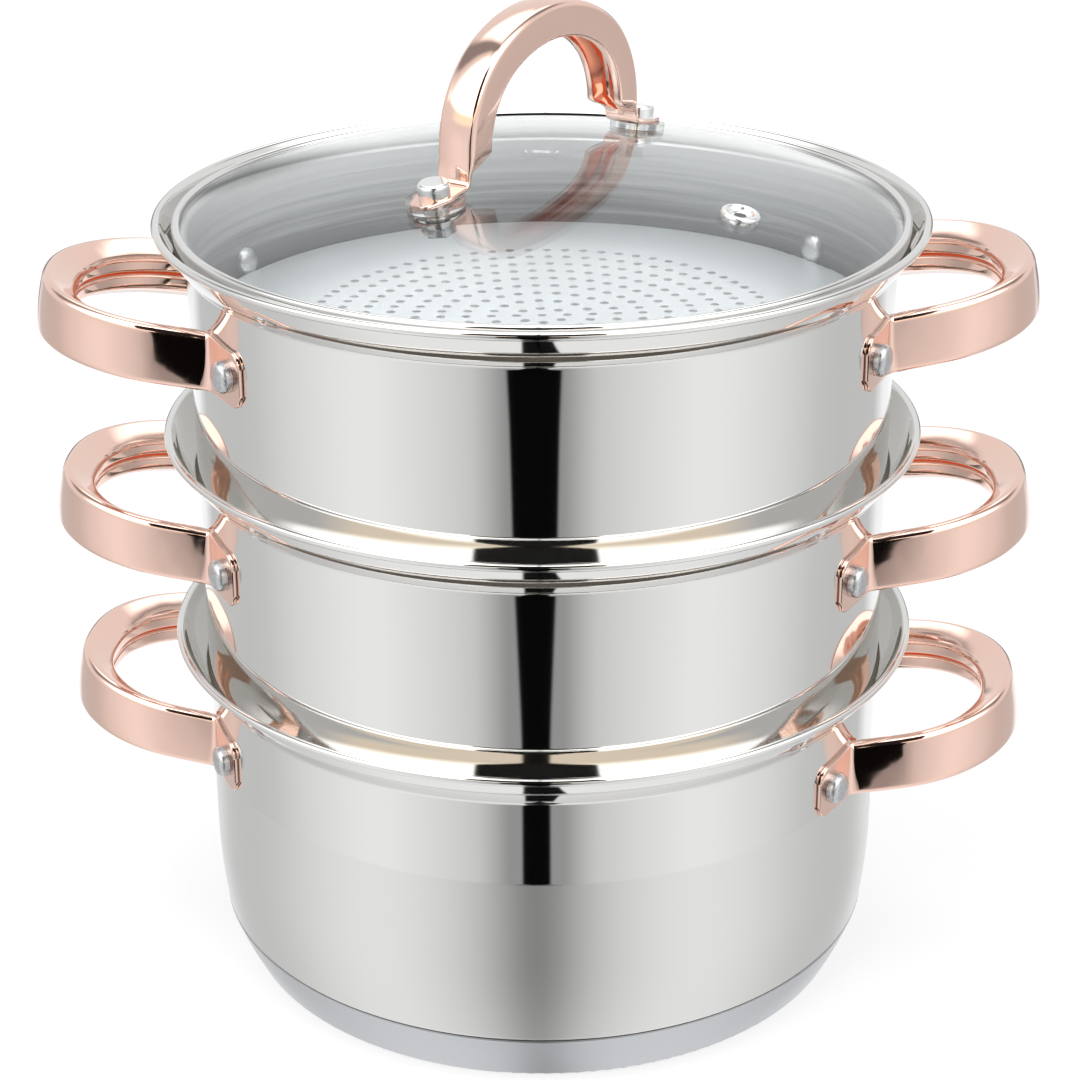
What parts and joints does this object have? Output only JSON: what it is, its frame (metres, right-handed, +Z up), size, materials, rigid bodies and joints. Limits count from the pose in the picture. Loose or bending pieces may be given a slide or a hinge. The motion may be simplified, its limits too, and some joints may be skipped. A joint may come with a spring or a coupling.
{
  "type": "steamer pot",
  "caption": "Stovetop steamer pot with stacked steamer tiers, a domed glass lid, riveted loop handles and an arched lid handle.",
  "frame": {"origin": "middle of the underside of the base, where the pot rests", "axes": "+Z up along the stack's axis, +X out through the pot's right handle, +Y away from the front"},
  "size_m": [0.3152, 0.241, 0.3165],
  "materials": {
    "polished_steel": "mirror-polished stainless steel, satin below the middle of the pot",
    "plate_steel": "bright rolled stainless sheet",
    "satin_steel": "satin stainless steel with fine turned lines",
    "core_aluminium": "plain aluminium",
    "copper_plating": "polished rose-gold plating on steel",
    "rivet_metal": "turned stainless steel",
    "lid_glass": "clear tempered glass",
    "band_steel": "mirror-polished stainless band",
    "bolt_steel": "bright turned stainless steel",
    "clear_pad": "clear silicone",
    "vent_steel": "polished stainless steel"
  },
  "bodies": {
    "pot": {"pot_shell": "polished_steel", "base_core": "core_aluminium", "base_cap": "satin_steel", "pot_handle_left": "copper_plating", "pot_handle_right": "copper_plating", "pot_rivets": "rivet_metal"},
    "lower_steamer": {"lower_steamer_wall": "polished_steel", "lower_steamer_floor": "plate_steel", "lower_steamer_handle_left": "copper_plating", "lower_steamer_handle_right": "copper_plating", "lower_steamer_rivets": "rivet_metal"},
    "upper_steamer": {"upper_steamer_wall": "polished_steel", "upper_steamer_floor": "plate_steel", "upper_steamer_handle_left": "copper_plating", "upper_steamer_handle_right": "copper_plating", "upper_steamer_rivets": "rivet_metal"},
    "lid": {"lid_glass": "lid_glass", "lid_rim_band": "band_steel", "lid_handle": "copper_plating", "lid_handle_pads": "clear_pad", "lid_handle_bolts": "bolt_steel", "lid_inner_washers": "clear_pad", "lid_handle_nuts": "bolt_steel", "vent_eyelet": "vent_steel", "vent_retainer": "vent_steel"}
  },
  "joints": [
    {"name": "lower_steamer_lift", "type": "slide", "parent": "pot", "child": "lower_steamer", "axis": [0, 0, 1], "range_m": [0, 0.1]},
    {"name": "upper_steamer_lift", "type": "slide", "parent": "lower_steamer", "child": "upper_steamer", "axis": [0, 0, 1], "range_m": [0, 0.1]},
    {"name": "lid_lift", "type": "slide", "parent": "upper_steamer", "child": "lid", "axis": [0, 0, 1], "range_m": [0, 0.1]}
  ]
}
